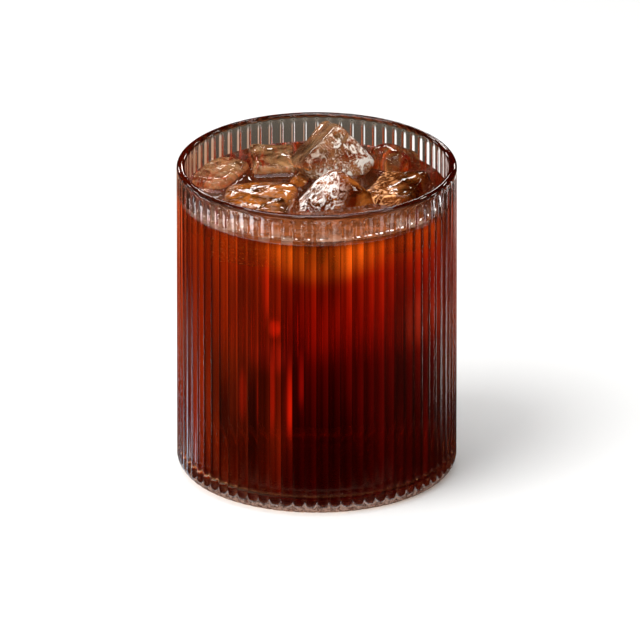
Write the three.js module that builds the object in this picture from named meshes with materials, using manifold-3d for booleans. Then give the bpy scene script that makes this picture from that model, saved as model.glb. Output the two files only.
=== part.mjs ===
import * as THREE from 'three';
import { mergeVertices } from 'three/addons/utils/BufferGeometryUtils.js';
import Module from 'manifold-3d';

// Iced black coffee in a short reeded tumbler, with ice standing proud of the drink.
// Millimetres, +Z up. The tumbler stands on z = 0 with its axis on the z axis, and -Y is its front.

const wasm = await Module();
wasm.setup();

// Tumbler
const GLASS_RADIUS = 42;
const GLASS_HEIGHT = 97;
const WALL = 2.6;
const FLOOR = 3.5;
const HEEL_RADIUS = 4;
const FILLET_RADIUS = 5;
const LIP_RADIUS = WALL / 2;
const LIP_LAND_DEG = 80;
const BORE_RADIUS = GLASS_RADIUS - WALL;
const BORE_SIDES = 72;

// Reeds: upright ribs round the outside, each bulging out between two sharp valleys
const REEDS = 72;
const REED_STEPS = 3;
const REED_DEPTH = 0.6;
const REED_ARCH = 2.6;
const REED_TOP = GLASS_HEIGHT - LIP_RADIUS - 0.5;
const REED_FADE = 1.2;

// Drink
const DRINK_LEVEL = 87.3;
const DRINK_GAP = 0.3;

// Ice
const ICE_GAP = 0.35;
const ICE_STEPS = 4;
const ICE_REACH = BORE_RADIUS - 1.8;
const ICE_FLOOR = 60;
const ICE_CEILING = 120;

// Each later block is cut back where it meets an earlier one, as melting ice lies in its neighbour's hollow.
// power sets how square a block is: its corners are those of a p-norm ball. dent is how uneven its faces are.
const ICE = [
  { name: 'ice_tall', size: [18, 17, 19], centre: [4.4, 19.4, 89.2], turn: [-24, 46, -2], power: 9, dent: 0.02 },
  { name: 'ice_front', size: [22, 13, 22], centre: [6, -8.6, 84], turn: [-24, 48, 2], power: 5, dent: 0.03 },
  { name: 'ice_right', size: [16.5, 20, 17], centre: [24.6, -2, 83.6], turn: [4, -8, -22], power: 9, dent: 0.03 },
  { name: 'ice_back_right', size: [15, 15, 20], centre: [22.2, 21.5, 83.2], turn: [-8, 6, -34], power: 4, dent: 0.03 },
  { name: 'ice_front_left', size: [22, 25, 17], centre: [-17, -10.6, 82.6], turn: [0, -4, -8], power: 9, dent: 0.03 },
  { name: 'ice_back_left', size: [14, 17, 18], centre: [-13.6, 22, 82.4], turn: [4, 4, 6], power: 9, dent: 0.03 },
  { name: 'ice_left', size: [13.5, 24, 16], centre: [-29, 12.6, 82.4], turn: [0, -5, -24], power: 6, dent: 0.03 },
  { name: 'ice_sliver', size: [5, 13, 15], centre: [-6.6, 9.5, 82.6], turn: [0, 22, -16], power: 8, dent: 0.03 },
];

const glassMaterial = new THREE.MeshStandardMaterial({
  color: 0xe9eceb,
  roughness: 0.03,
  metalness: 0,
  transparent: true,
  opacity: 0.35,
});
const drinkMaterial = new THREE.MeshStandardMaterial({ color: 0x4a1607, roughness: 0.05, metalness: 0 });
const iceMaterial = new THREE.MeshStandardMaterial({
  color: 0xd8c3b0,
  roughness: 0.12,
  metalness: 0,
  transparent: true,
  opacity: 0.6,
});

// Points of an arc in a profile plane, where x is the distance from the axis and y the height.
function arc(centreX, centreY, radius, fromDeg, toDeg, steps) {
  return Array.from({ length: steps + 1 }, (_, i) => {
    const angle = THREE.MathUtils.degToRad(fromDeg + ((toDeg - fromDeg) * i) / steps);
    return new THREE.Vector2(centreX + radius * Math.cos(angle), centreY + radius * Math.sin(angle));
  });
}

// Turns a closed geometry into a solid, dropping the flat triangles on a lathe's axis.
function solidOf(geometry) {
  const bare = geometry.clone();
  bare.deleteAttribute('normal');
  bare.deleteAttribute('uv');
  const merged = mergeVertices(bare);
  const index = merged.index.array;
  const triangles = [];
  for (let i = 0; i < index.length; i += 3) {
    const [a, b, c] = [index[i], index[i + 1], index[i + 2]];
    if (a !== b && b !== c && c !== a) triangles.push(a, b, c);
  }
  return new wasm.Manifold(
    new wasm.Mesh({
      numProp: 3,
      vertProperties: merged.attributes.position.array,
      triVerts: new Uint32Array(triangles),
    }),
  );
}

// Turns a solid into a named mesh, whose own origin is at centre.
function meshOf(name, solid, material, centre = [0, 0, 0]) {
  const { vertProperties, triVerts } = solid.getMesh();
  const geometry = new THREE.BufferGeometry();
  geometry.setAttribute('position', new THREE.BufferAttribute(vertProperties, 3));
  geometry.setIndex(new THREE.BufferAttribute(triVerts, 1));
  geometry.translate(-centre[0], -centre[1], -centre[2]);
  geometry.computeVertexNormals();
  const mesh = new THREE.Mesh(geometry, material);
  mesh.name = name;
  mesh.position.set(...centre);
  return mesh;
}

// A profile turned round the z axis.
function turned(profile, sides) {
  return new THREE.LatheGeometry(profile, sides).rotateX(Math.PI / 2);
}

// How deep the valleys are at a height: full on the wall, arching out below the lip, fading under the heel.
function valleyDepth(height) {
  const arch = THREE.MathUtils.clamp((height - REED_TOP + REED_ARCH) / REED_ARCH, 0, 1);
  const heel = THREE.MathUtils.clamp((height + REED_FADE) / HEEL_RADIUS, 0, 1);
  return REED_DEPTH * Math.sqrt(1 - arch * arch) * heel;
}

// Presses the valleys between the reeds into a turned body.
function reed(geometry) {
  const position = geometry.attributes.position;
  const point = new THREE.Vector3();
  for (let i = 0; i < position.count; i += 1) {
    point.fromBufferAttribute(position, i);
    const radius = Math.hypot(point.x, point.y);
    if (radius < GLASS_RADIUS - HEEL_RADIUS - REED_DEPTH) continue;
    const across = THREE.MathUtils.euclideanModulo(Math.atan2(point.y, point.x) / (2 * Math.PI), 1) * REEDS;
    const step = Math.round(across * REED_STEPS) % REED_STEPS;
    const fromCrest = (2 * step) / REED_STEPS - 1;
    const scale = 1 - (valleyDepth(point.z) * fromCrest * fromCrest) / radius;
    position.setXYZ(i, point.x * scale, point.y * scale, point.z);
  }
  return geometry;
}

function tumblerBody() {
  const profile = [
    new THREE.Vector2(0, 0),
    ...arc(GLASS_RADIUS - HEEL_RADIUS, HEEL_RADIUS, HEEL_RADIUS, -90, 0, 4),
    ...[1, 0.55, 0.2, 0].map((part) => new THREE.Vector2(GLASS_RADIUS, REED_TOP - REED_ARCH * part)),
    ...arc(GLASS_RADIUS - LIP_RADIUS, GLASS_HEIGHT - LIP_RADIUS, LIP_RADIUS, 0, LIP_LAND_DEG, 3),
  ];
  profile.push(new THREE.Vector2(0, profile.at(-1).y));
  return solidOf(reed(turned(profile, REEDS * REED_STEPS)));
}

// Profile of the tumbler's bore up to a height, drawn in by clearance on the wall and the floor.
function boreProfile(clearance) {
  const radius = FILLET_RADIUS - clearance;
  const centre = BORE_RADIUS - FILLET_RADIUS;
  return [
    new THREE.Vector2(0, FLOOR + clearance),
    ...arc(centre, FLOOR + FILLET_RADIUS, radius, -90, 0, 4),
  ];
}

function tumblerBore() {
  const profile = [
    ...boreProfile(0),
    ...arc(GLASS_RADIUS - LIP_RADIUS, GLASS_HEIGHT - LIP_RADIUS, LIP_RADIUS, 180, 180 - LIP_LAND_DEG, 3),
  ];
  const mouth = profile.at(-1).x;
  profile.push(new THREE.Vector2(mouth, GLASS_HEIGHT + LIP_RADIUS), new THREE.Vector2(0, GLASS_HEIGHT + LIP_RADIUS));
  return solidOf(turned(profile, BORE_SIDES));
}

function drinkBody() {
  const profile = [
    ...boreProfile(DRINK_GAP),
    new THREE.Vector2(BORE_RADIUS - DRINK_GAP, DRINK_LEVEL),
    new THREE.Vector2(0, DRINK_LEVEL),
  ];
  return solidOf(turned(profile, BORE_SIDES));
}

// The upright column inside the tumbler that ice can lie in.
function iceColumn(clearance) {
  const profile = [
    new THREE.Vector2(0, ICE_FLOOR),
    new THREE.Vector2(ICE_REACH + clearance, ICE_FLOOR),
    new THREE.Vector2(ICE_REACH + clearance, ICE_CEILING),
    new THREE.Vector2(0, ICE_CEILING),
  ];
  return solidOf(turned(profile, BORE_SIDES));
}

// One half-melted ice block, swollen by clearance on every side.
function iceBlock({ size, centre, turn, power, dent }, seed, clearance) {
  const geometry = new THREE.BoxGeometry(2, 2, 2, ICE_STEPS, ICE_STEPS, ICE_STEPS);
  const position = geometry.attributes.position;
  const point = new THREE.Vector3();
  const half = new THREE.Vector3(...size).multiplyScalar(0.5).addScalar(clearance);
  for (let i = 0; i < position.count; i += 1) {
    point.fromBufferAttribute(position, i);
    const spread = point.toArray().map((value) => Math.tan((value * Math.PI) / 4));
    const norm = spread.reduce((sum, value) => sum + Math.abs(value) ** power, 0) ** (1 / power);
    const [x, y, z] = spread.map((value) => value / norm);
    const wave = Math.sin(2.3 * x + 1.7 * y + seed) * Math.sin(1.9 * y - 2.1 * z + 2 * seed);
    point.set(x, y, z).multiplyScalar(1 + dent * wave).multiply(half);
    position.setXYZ(i, point.x, point.y, point.z);
  }
  const [x, y, z] = turn.map(THREE.MathUtils.degToRad);
  geometry.applyMatrix4(new THREE.Matrix4().makeRotationFromEuler(new THREE.Euler(x, y, z, 'ZYX')));
  return solidOf(geometry.translate(...centre));
}

// The largest of the bodies in a solid, without scraps that a cut leaves.
function largest(solid) {
  return solid.decompose().reduce((best, body) => (body.volume() > best.volume() ? body : best));
}

const tumbler = new THREE.Group();
tumbler.add(meshOf('glass', tumblerBody().subtract(tumblerBore()), glassMaterial));

const column = iceColumn(0);
const hollow = iceColumn(DRINK_GAP);
let drink = drinkBody();
let taken = null;
ICE.forEach((block, seed) => {
  const whole = iceBlock(block, seed + 1, 0).intersect(column);
  const swollen = iceBlock(block, seed + 1, ICE_GAP);
  const piece = taken ? largest(whole.subtract(taken)) : whole;
  tumbler.add(meshOf(block.name, piece, iceMaterial, block.centre));
  taken = taken ? taken.add(swollen) : swollen;
  drink = drink.subtract(swollen.intersect(hollow));
});
tumbler.add(meshOf('drink', largest(drink), drinkMaterial));

export default tumbler;
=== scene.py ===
"""Iced black coffee in a reeded tumbler: the looks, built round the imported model.

Sizes are in millimetres in the classes and become metres where a mesh is made.
The glass stands on z = 0 with its axis on the z axis, and -Y is its front.
"""

import logging
import math
from dataclasses import dataclass, field
from enum import Enum

import bmesh
import bpy
import numpy as np
from mathutils import Matrix, Vector


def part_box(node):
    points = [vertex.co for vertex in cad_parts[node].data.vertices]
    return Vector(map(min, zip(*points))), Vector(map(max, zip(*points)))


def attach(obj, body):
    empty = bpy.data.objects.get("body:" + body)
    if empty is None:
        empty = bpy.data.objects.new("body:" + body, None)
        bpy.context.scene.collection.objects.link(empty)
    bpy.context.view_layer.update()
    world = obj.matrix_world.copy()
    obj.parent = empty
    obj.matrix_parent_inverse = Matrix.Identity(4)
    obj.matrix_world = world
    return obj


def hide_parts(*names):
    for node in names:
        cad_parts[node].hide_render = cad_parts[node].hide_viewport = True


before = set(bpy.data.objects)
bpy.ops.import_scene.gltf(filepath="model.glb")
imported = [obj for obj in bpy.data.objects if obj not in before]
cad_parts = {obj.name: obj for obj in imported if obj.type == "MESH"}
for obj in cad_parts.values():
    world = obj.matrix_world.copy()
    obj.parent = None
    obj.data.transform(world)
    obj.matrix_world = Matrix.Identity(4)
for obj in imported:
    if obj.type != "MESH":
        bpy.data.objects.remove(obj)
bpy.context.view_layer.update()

LOG = logging.getLogger("coffee")
MM = 0.001
BODY = "root"


def link(obj: bpy.types.Object) -> bpy.types.Object:
    """Puts an object into the scene and returns it."""
    bpy.context.scene.collection.objects.link(obj)
    return obj


def mesh_object(
    name: str,
    points: np.ndarray,
    faces: list[list[int]],
    material: bpy.types.Material,
) -> bpy.types.Object:
    """Makes a smooth-shaded mesh object.

    Args:
        name: the object's and its mesh's name.
        points: corner points in millimetres, one row each.
        faces: lists of point numbers, turned to face outward.
        material: the finish of every face.

    Returns:
        The new object, in the scene.
    """
    mesh = bpy.data.meshes.new(name)
    mesh.from_pydata((np.asarray(points, float) * MM).tolist(), [], faces)
    mesh.materials.append(material)
    mesh.shade_smooth()
    mesh.update()
    return link(bpy.data.objects.new(name, mesh))


def turned_faces(rings: int, sides: int) -> list[list[int]]:
    """Lists the faces of a closed turned body.

    Args:
        rings: number of rings between the two poles.
        sides: points on each ring.

    Returns:
        Faces over points ordered as first pole, rings, last pole.
    """
    here = np.arange(sides)
    after = (here + 1) % sides
    first = [[0, 1 + b, 1 + a] for a, b in zip(here, after)]
    steps = np.arange(rings - 1)[:, None] * sides + 1
    quads = np.stack(
        [steps + here, steps + after, steps + sides + after, steps + sides + here], -1
    ).reshape(-1, 4)
    last = 1 + (rings - 1) * sides
    pole = 1 + rings * sides
    return first + quads.tolist() + [[pole, last + a, last + b] for a, b in zip(here, after)]


def arc(
    centre: tuple[float, float], radius: float, start: float, end: float, steps: int
) -> list[tuple[float, float]]:
    """Works out the points of an arc in a profile plane of radius and height.

    Args:
        centre: the arc's middle.
        radius: its radius.
        start: degrees where it begins.
        end: degrees where it ends.
        steps: number of straight pieces.

    Returns:
        The points, from start to end.
    """
    angles = np.radians(np.linspace(start, end, steps + 1))
    return [(centre[0] + radius * math.cos(a), centre[1] + radius * math.sin(a)) for a in angles]


def circle(sides: int) -> np.ndarray:
    """Angles of evenly spread points round the axis."""
    return np.arange(sides) / sides * 2 * math.pi


def points_of(obj: bpy.types.Object) -> np.ndarray:
    """Reads a mesh's points.

    Args:
        obj: the object whose mesh is read.

    Returns:
        The points in millimetres, one row each.
    """
    flat = np.empty(len(obj.data.vertices) * 3)
    obj.data.vertices.foreach_get("co", flat)
    return flat.reshape(-1, 3) / MM


def carry(obj: bpy.types.Object, name: str, values: np.ndarray) -> None:
    """Lets a mesh carry a value or a colour at its points.

    Args:
        obj: the object whose mesh carries it.
        name: the name that a material reads it by.
        values: a number for each point, or a row of red, green and blue.
    """
    if values.ndim == 1:
        layer = obj.data.attributes.new(name, "FLOAT", "POINT")
        layer.data.foreach_set("value", values.astype(np.float32))
        return
    colours = np.column_stack([values, np.ones(len(values))])
    layer = obj.data.attributes.new(name, "FLOAT_COLOR", "POINT")
    layer.data.foreach_set("color", colours.reshape(-1).astype(np.float32))


def settle(obj: bpy.types.Object, node: str | None = None) -> None:
    """Gives a piece its body and the node that it stands for, if it has one.

    Args:
        obj: the piece.
        node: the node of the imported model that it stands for.
    """
    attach(obj, BODY)
    if node is not None:
        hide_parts(node)


def boolean(body: bpy.types.Object, cutter: bpy.types.Object, operation: str) -> None:
    """Joins, cuts or crops a body by a closed cutter and applies the result.

    Args:
        body: the object that is changed.
        cutter: the closed object that it meets.
        operation: the way they meet, by its name in Blender.
    """
    step = body.modifiers.new("cut", "BOOLEAN")
    step.operation = operation
    step.object = cutter
    step.solver = "MANIFOLD"
    bpy.context.view_layer.update()
    graph = bpy.context.evaluated_depsgraph_get()
    cut = bpy.data.meshes.new_from_object(body.evaluated_get(graph))
    body.modifiers.clear()
    old = body.data
    body.data = cut
    bpy.data.meshes.remove(old)
    cut.name = body.name


def discard(*objects: bpy.types.Object) -> None:
    """Removes helper objects and their meshes.

    Args:
        *objects: the helpers.
    """
    for obj in objects:
        mesh = obj.data
        bpy.data.objects.remove(obj)
        bpy.data.meshes.remove(mesh)


Value = bpy.types.NodeSocket | float | tuple[float, ...]
Colour = tuple[float, float, float, float]
Span = tuple[float, float]

CLEAR: Colour = (1, 1, 1, 1)


@dataclass(frozen=True)
class Nodes:
    """A material under construction, with short ways to add its nodes."""

    material: bpy.types.Material

    @classmethod
    def start(cls, name: str) -> "Nodes":
        """Makes an empty node material.

        Args:
            name: the material's name.

        Returns:
            The nodes of the new material.
        """
        material = bpy.data.materials.new(name)
        material.use_nodes = True
        material.node_tree.nodes.clear()
        return cls(material)

    def add(self, kind: str, **values: object) -> bpy.types.Node:
        """Adds a node and sets its attributes or its input sockets by name.

        Args:
            kind: the node's type, without the leading "ShaderNode".
            **values: attribute or socket values, with underscores for spaces.

        Returns:
            The new node.
        """
        node = self.material.node_tree.nodes.new("ShaderNode" + kind)
        for key, value in values.items():
            if hasattr(node, key):
                setattr(node, key, value)
            else:
                node.inputs[key.replace("_", " ")].default_value = value
        return node

    def feed(self, value: Value, socket: bpy.types.NodeSocket) -> None:
        """Links an output to an input socket, or sets a plain value on the input itself.

        Args:
            value: an output, or a plain number or colour.
            socket: the input that takes it.
        """
        if isinstance(value, bpy.types.NodeSocket):
            self.material.node_tree.links.new(value, socket)
        else:
            socket.default_value = value

    def math(self, operation: str, *values: Value, clamp: bool = False) -> bpy.types.NodeSocket:
        """Calculates with sockets and plain numbers.

        Args:
            operation: the calculation's name in Blender.
            *values: what it takes, in order.
            clamp: whether the result is kept between zero and one.

        Returns:
            The result.
        """
        node = self.add("Math", operation=operation, use_clamp=clamp)
        for value, socket in zip(values, node.inputs):
            self.feed(value, socket)
        return node.outputs[0]

    def ramp(self, value: bpy.types.NodeSocket, start: Span, end: Span = (0.0, 1.0)) -> bpy.types.NodeSocket:
        """Maps one span of a value onto another and holds it at both ends.

        Args:
            value: what is mapped.
            start: the span that it is read over.
            end: the span that it becomes.

        Returns:
            The mapped value.
        """
        node = self.add("MapRange", From_Min=start[0], From_Max=start[1], To_Min=end[0], To_Max=end[1])
        self.feed(value, node.inputs["Value"])
        return node.outputs[0]

    def noise(self, place: bpy.types.NodeSocket, **values: float) -> bpy.types.NodeSocket:
        """Reads a noise at a place.

        Args:
            place: where it is read.
            **values: its inputs by name.

        Returns:
            The noise, between zero and one.
        """
        node = self.add("TexNoise", **values)
        self.feed(place, node.inputs["Vector"])
        return node.outputs[0]

    def mix(self, share: bpy.types.NodeSocket, first: Value, second: Value) -> bpy.types.NodeSocket:
        """Mixes two colours.

        Args:
            share: how much of the second there is.
            first: colour where the share is zero.
            second: colour where it is one.

        Returns:
            The mixed colour.
        """
        node = self.add("Mix", data_type="RGBA")
        for value, number in ((share, 0), (first, 6), (second, 7)):
            self.feed(value, node.inputs[number])
        return node.outputs[2]

    def carried(self, name: str, output: str = "Fac") -> bpy.types.NodeSocket:
        """Reads a value or colour that the mesh carries at its points."""
        return self.add("Attribute", attribute_name=name).outputs[output]

    def place(self) -> bpy.types.NodeSocket:
        """Reads the place in the object's own frame, in metres."""
        return self.add("TexCoord").outputs["Object"]

    def split(self, place: bpy.types.NodeSocket) -> bpy.types.Node:
        """Splits a place into outputs named X, Y and Z.

        Args:
            place: the place.

        Returns:
            The node with those outputs.
        """
        node = self.add("SeparateXYZ")
        self.feed(place, node.inputs[0])
        return node

    def rest(self, share: bpy.types.NodeSocket) -> bpy.types.NodeSocket:
        """Works out what a share leaves of one."""
        return self.math("SUBTRACT", 1.0, share, clamp=True)

    def shader(self, **values: Value) -> bpy.types.NodeSocket:
        """Adds the Principled shader.

        Args:
            **values: its inputs, with underscores for spaces.

        Returns:
            The shader's output.
        """
        node = self.add("BsdfPrincipled")
        for key, value in values.items():
            self.feed(value, node.inputs[key.replace("_", " ")])
        return node.outputs[0]

    def output(
        self, surface: bpy.types.NodeSocket, volume: bpy.types.NodeSocket | None = None
    ) -> bpy.types.Material:
        """Ends the material.

        Args:
            surface: output of the surface's shader.
            volume: output of the inside's shader, if there is one.

        Returns:
            The finished material.
        """
        out = self.add("OutputMaterial")
        self.feed(surface, out.inputs["Surface"])
        if volume is not None:
            self.feed(volume, out.inputs["Volume"])
        return self.material


@dataclass(frozen=True)
class ClearGlass:
    """Polished soda-lime glass, a little stippled where the mesh's "heel" value says.

    Attributes:
        tint: what the glass lets through.
        stipple: colour of the light that the stipple scatters.
        edge: colour of the light at the very foot.
        edge_height: height in metres that it reaches.
        cover: share of the heel that the stipple hides, between its grains and on them.
        grains_per_metre: how fine the stipple is.
        painted_lip_shade: painted shade on the rounded lip, a dark tint of what it lets through, where the
            mesh's "lip" value is one.
    """

    name: str = "clear_glass"
    ior: float = 1.5
    tint: Colour = (0.985, 0.99, 0.99, 1)
    stipple: Colour = (0.5, 0.33, 0.26, 1)
    edge: Colour = (0.85, 0.45, 0.18, 1)
    edge_height: float = 0.0008
    cover: Span = (0.12, 0.8)
    grains_per_metre: float = 800.0
    grain_span: Span = (0.4, 0.58)
    painted_lip_shade: Colour = (0.07, 0.03, 0.018, 1)

    def material(self) -> bpy.types.Material:
        """Builds the finish.

        Returns:
            The material.
        """
        nodes = Nodes.start(self.name)
        place = nodes.place()
        heel = nodes.carried("heel")
        grain = nodes.noise(place, Scale=self.grains_per_metre, Detail=4.0, Roughness=0.7)
        haze = nodes.math("MULTIPLY", heel, nodes.ramp(grain, self.grain_span, self.cover))
        foot = nodes.math("LESS_THAN", nodes.split(place).outputs["Z"], self.edge_height)
        colour = nodes.mix(heel, self.tint, nodes.mix(foot, self.stipple, self.edge))
        shader = nodes.shader(
            # The lip's dark line is painted shade, mixed in where the mesh's "lip" value is one
            Base_Color=nodes.mix(nodes.carried("lip"), colour, self.painted_lip_shade),
            Roughness=0.0,
            IOR=self.ior,
            Transmission_Weight=nodes.rest(haze),
        )
        return nodes.output(shader)


@dataclass(frozen=True)
class CoffeeLiquid:
    """Clear black coffee: amber where thin, deep red where thick, with a film of fine foam on top.

    A painted glow stands in for the light that the reeds gather: emission in upright stripes in the coffee
    along the wall.
    All spans of X, Y, Z or radius are in metres.

    Attributes:
        density: how strongly it takes up light.
        colour: what of each colour is not taken up.
        film: colour of the foam film.
        froth_highlight: colour of the froth, which is also a painted highlight, where it is thickest, at the
            left and behind some of the reeds.
        film_cover: share of the surface that the film hides, at its thinnest and its thickest.
        film_patch: noise over which it thickens.
        film_back: span of Y over which it thins out behind the glass's front.
        film_behind: share of the film that is left there.
        film_height: height over which the film sets in.
        froth_highlight_left: span of X over which the froth and its painted highlight thin out.
        froth_highlight_ring: radius over which the froth and painted highlight behind the reeds set in.
        froth_highlight_reeds: noise over which a reed gets froth and painted highlight.
        froth_highlight_share: the most froth and painted highlight that a reed gets.
        reeds: stripes of painted glow round the wall.
        stripe: places across a stripe, from one valley to the next, each with its brightness.
        uneven: noise over which a stripe's brightness changes along its height.
        uneven_level: its brightness at both ends of that noise.
        streaks_per_metre: how fast it changes.
        wall: radius over which the painted glow sets in.
        underside: height over which the painted glow of the underside ends.
    """

    name: str = "coffee"
    ior: float = 1.333
    density: float = 150.0
    colour: Colour = (0.862, 0.585, 0.08, 1)
    film: Colour = (0.55, 0.15, 0.045, 1)
    froth_highlight: Colour = (0.95, 0.72, 0.55, 1)
    film_cover: Span = (0.3, 0.62)
    film_patch: Span = (0.4, 0.62)
    film_back: Span = (-0.026, -0.008)
    film_behind: float = 0.14
    film_height: Span = (0.0868, 0.0872)
    froth_highlight_left: Span = (-0.038, -0.02)
    froth_highlight_ring: Span = (0.028, 0.037)
    froth_highlight_reeds: Span = (0.5, 0.58)
    froth_highlight_share: float = 0.5
    reeds: int = 72
    stripe: tuple[Span, ...] = (
        (0.0, 0.05), (0.1, 0.4), (0.3, 0.55), (0.42, 0.4),
        (0.66, 0.95), (0.84, 1.25), (0.93, 0.3), (1.0, 0.02),
    )
    uneven: Span = (0.32, 0.7)
    uneven_level: Span = (0.15, 2.1)
    streaks_per_metre: float = 32.0
    wall: Span = (0.034, 0.0365)
    underside: Span = (0.0037, 0.0045)

    def material(self) -> bpy.types.Material:
        """Builds the finish.

        Returns:
            The material.
        """
        nodes = Nodes.start(self.name)
        place = nodes.place()
        split = nodes.split(place)
        above = nodes.ramp(split.outputs["Z"], self.film_height)
        film = nodes.math("MULTIPLY", above, self.film_share(nodes, place, split))
        # The white froth at the left and behind some of the reeds is partly foam and partly a painted
        # highlight
        foam = nodes.mix(self.froth_highlight_amount(nodes, split), self.film, self.froth_highlight)
        shader = nodes.shader(
            Base_Color=nodes.mix(above, CLEAR, foam),
            Roughness=0.0,
            IOR=self.ior,
            Transmission_Weight=nodes.rest(film),
            # The emission is a painted glow that stands in for the light that the reeds gather in the coffee
            Emission_Color=nodes.carried("glow", "Color"),
            Emission_Strength=self.painted_glow_strength(nodes, split),
        )
        depth = nodes.add("VolumeAbsorption", Color=self.colour, Density=self.density)
        return nodes.output(shader, depth.outputs[0])

    def film_share(
        self, nodes: Nodes, place: bpy.types.NodeSocket, split: bpy.types.Node
    ) -> bpy.types.NodeSocket:
        """Works out how much of the surface the film hides: in patches, and mostly at the front.

        Args:
            nodes: the material under construction.
            place: the place in the object's frame.
            split: node with that place's X, Y and Z.

        Returns:
            The share that is hidden.
        """
        patch = nodes.noise(place, Scale=160.0, Detail=4.0, Distortion=1.0)
        cover = nodes.ramp(patch, self.film_patch, self.film_cover)
        front = nodes.ramp(split.outputs["Y"], self.film_back, (1.0, self.film_behind))
        return nodes.math("MULTIPLY", cover, front)

    def froth_highlight_amount(self, nodes: Nodes, split: bpy.types.Node) -> bpy.types.NodeSocket:
        """Works out how frothy the film is, the froth being also a painted highlight: at the left, and
        behind some of the reeds.

        Args:
            nodes: the material under construction.
            split: node with the place's X, Y and Z.

        Returns:
            The share of the film that is froth and painted highlight.
        """
        left = nodes.ramp(split.outputs["X"], self.froth_highlight_left, (1.0, 0.0))
        reed = nodes.math("FLOOR", self.reed_turn(nodes, split))
        chance = nodes.noise(reed, Scale=0.9, Detail=1.0)
        white = nodes.ramp(chance, self.froth_highlight_reeds, (0.0, self.froth_highlight_share))
        near_wall = nodes.ramp(self.from_axis(nodes, split), self.froth_highlight_ring)
        return nodes.math("MAXIMUM", left, nodes.math("MULTIPLY", white, near_wall))

    @staticmethod
    def from_axis(nodes: Nodes, split: bpy.types.Node) -> bpy.types.NodeSocket:
        """Measures the distance from the glass's axis.

        Args:
            nodes: the material under construction.
            split: node with the place's X, Y and Z.

        Returns:
            The distance in metres.
        """
        flat = nodes.add("CombineXYZ")
        for axis in ("X", "Y"):
            nodes.feed(split.outputs[axis], flat.inputs[axis])
        length = nodes.add("VectorMath", operation="LENGTH")
        nodes.feed(flat.outputs[0], length.inputs[0])
        return length.outputs["Value"]

    def reed_turn(self, nodes: Nodes, split: bpy.types.Node) -> bpy.types.NodeSocket:
        """Measures the angle about the glass's axis in whole reeds."""
        angle = nodes.math("ARCTAN2", split.outputs["Y"], split.outputs["X"])
        return nodes.math("MULTIPLY_ADD", angle, self.reeds / (2 * math.pi), self.reeds)

    def painted_glow_strength(self, nodes: Nodes, split: bpy.types.Node) -> bpy.types.NodeSocket:
        """Breaks the painted glow up into one stripe behind each reed, uneven along its height.

        Args:
            nodes: the material under construction.
            split: node with the place's X, Y and Z.

        Returns:
            The painted glow's strength, which is zero on the inside and away from the wall and the
            underside.
        """
        turn = self.reed_turn(nodes, split)
        stripe = nodes.add("ValToRGB")
        stripe.color_ramp.interpolation = "EASE"
        while len(stripe.color_ramp.elements) < len(self.stripe):
            stripe.color_ramp.elements.new(1.0)
        for element, (position, level) in zip(stripe.color_ramp.elements, self.stripe):
            element.position = position
            element.color = (level, level, level, 1)
        nodes.feed(nodes.math("FRACT", turn), stripe.inputs["Fac"])
        spot = nodes.add("CombineXYZ")
        nodes.feed(nodes.math("FLOOR", turn), spot.inputs["X"])
        nodes.feed(nodes.math("MULTIPLY", split.outputs["Z"], self.streaks_per_metre), spot.inputs["Z"])
        waver = nodes.noise(spot.outputs[0], Scale=0.45, Detail=2.0)
        amount = nodes.ramp(waver, self.uneven, self.uneven_level)
        lit = nodes.math("MULTIPLY", stripe.outputs["Color"], amount)
        near_wall = nodes.ramp(self.from_axis(nodes, split), self.wall)
        under = nodes.ramp(split.outputs["Z"], self.underside, (1.0, 0.0))
        lit = nodes.math("MULTIPLY", lit, nodes.math("MAXIMUM", near_wall, under))
        inside = nodes.add("NewGeometry").outputs["Backfacing"]
        return nodes.math("MULTIPLY", lit, nodes.rest(inside))


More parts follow.
